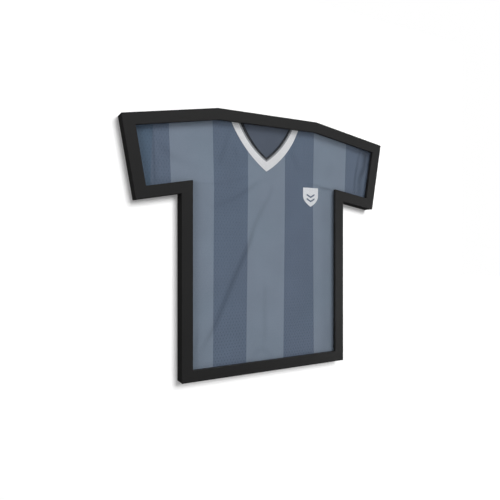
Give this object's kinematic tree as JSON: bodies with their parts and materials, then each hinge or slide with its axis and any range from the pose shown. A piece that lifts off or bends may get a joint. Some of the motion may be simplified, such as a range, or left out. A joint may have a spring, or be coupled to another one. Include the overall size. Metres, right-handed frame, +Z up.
{
  "type": "jersey display frame",
  "caption": "Wall-hung display frame in a short-sleeved shirt outline, holding a folded striped jersey behind a clear window, with a back panel held by turn buttons.",
  "frame": {"origin": "on the wall plane, midway between the entry holes of the two keyhole hangers", "axes": "+X to the right as seen from the front, +Y backwards into the wall, +Z up"},
  "size_m": [0.7356, 0.03, 0.635],
  "materials": {
    "frame_black": "matte",
    "window_clear": "gloss",
    "insert_board": "matte",
    "jersey_knit": "matte",
    "collar_rib": "matte",
    "badge_weave": "matte",
    "back_board": "matte",
    "button_plastic": "satin",
    "screw_zinc": "satin",
    "hanger_steel": "satin"
  },
  "bodies": {
    "frame": {"front_frame": "frame_black", "clear_window": "window_clear", "insert_panel": "insert_board", "jersey_front": "jersey_knit", "jersey_back": "jersey_knit", "jersey_collar": "collar_rib", "jersey_fold_over": "jersey_knit", "crest_badge": "badge_weave", "back_panel": "back_board", "turn_button_screws": "screw_zinc", "keyhole_hanger_left": "hanger_steel", "keyhole_hanger_right": "hanger_steel", "hanger_screws": "screw_zinc"},
    "turn_button_neck": {"turn_button_neck": "button_plastic"},
    "turn_button_right_shoulder": {"turn_button_right_shoulder": "button_plastic"},
    "turn_button_right_cuff": {"turn_button_right_cuff": "button_plastic"},
    "turn_button_right_side_upper": {"turn_button_right_side_upper": "button_plastic"},
    "turn_button_right_side_lower": {"turn_button_right_side_lower": "button_plastic"},
    "turn_button_hem": {"turn_button_hem": "button_plastic"},
    "turn_button_left_side_lower": {"turn_button_left_side_lower": "button_plastic"},
    "turn_button_left_side_upper": {"turn_button_left_side_upper": "button_plastic"},
    "turn_button_left_cuff": {"turn_button_left_cuff": "button_plastic"},
    "turn_button_left_shoulder": {"turn_button_left_shoulder": "button_plastic"}
  },
  "joints": [
    {"name": "neck_turn", "type": "hinge", "parent": "frame", "child": "turn_button_neck", "pos_m": [0, -0.0095, 0.002], "axis": [0, 1, 0], "range_deg": [-90, 90]},
    {"name": "right_shoulder_turn", "type": "hinge", "parent": "frame", "child": "turn_button_right_shoulder", "pos_m": [0.25326, -0.0095, -0.01777], "axis": [0, 1, 0], "range_deg": [-90, 90]},
    {"name": "right_cuff_turn", "type": "hinge", "parent": "frame", "child": "turn_button_right_cuff", "pos_m": [0.342, -0.0095, -0.1177], "axis": [0, 1, 0], "range_deg": [-90, 90]},
    {"name": "right_side_upper_turn", "type": "hinge", "parent": "frame", "child": "turn_button_right_side_upper", "pos_m": [0.2215, -0.0095, -0.30024], "axis": [0, 1, 0], "range_deg": [-90, 90]},
    {"name": "right_side_lower_turn", "type": "hinge", "parent": "frame", "child": "turn_button_right_side_lower", "pos_m": [0.2215, -0.0095, -0.51541], "axis": [0, 1, 0], "range_deg": [-90, 90]},
    {"name": "hem_turn", "type": "hinge", "parent": "frame", "child": "turn_button_hem", "pos_m": [0, -0.0095, -0.613], "axis": [0, 1, 0], "range_deg": [-90, 90]},
    {"name": "left_side_lower_turn", "type": "hinge", "parent": "frame", "child": "turn_button_left_side_lower", "pos_m": [-0.2215, -0.0095, -0.51541], "axis": [0, 1, 0], "range_deg": [-90, 90]},
    {"name": "left_side_upper_turn", "type": "hinge", "parent": "frame", "child": "turn_button_left_side_upper", "pos_m": [-0.2215, -0.0095, -0.30024], "axis": [0, 1, 0], "range_deg": [-90, 90]},
    {"name": "left_cuff_turn", "type": "hinge", "parent": "frame", "child": "turn_button_left_cuff", "pos_m": [-0.342, -0.0095, -0.1177], "axis": [0, 1, 0], "range_deg": [-90, 90]},
    {"name": "left_shoulder_turn", "type": "hinge", "parent": "frame", "child": "turn_button_left_shoulder", "pos_m": [-0.25326, -0.0095, -0.01777], "axis": [0, 1, 0], "range_deg": [-90, 90]}
  ]
}
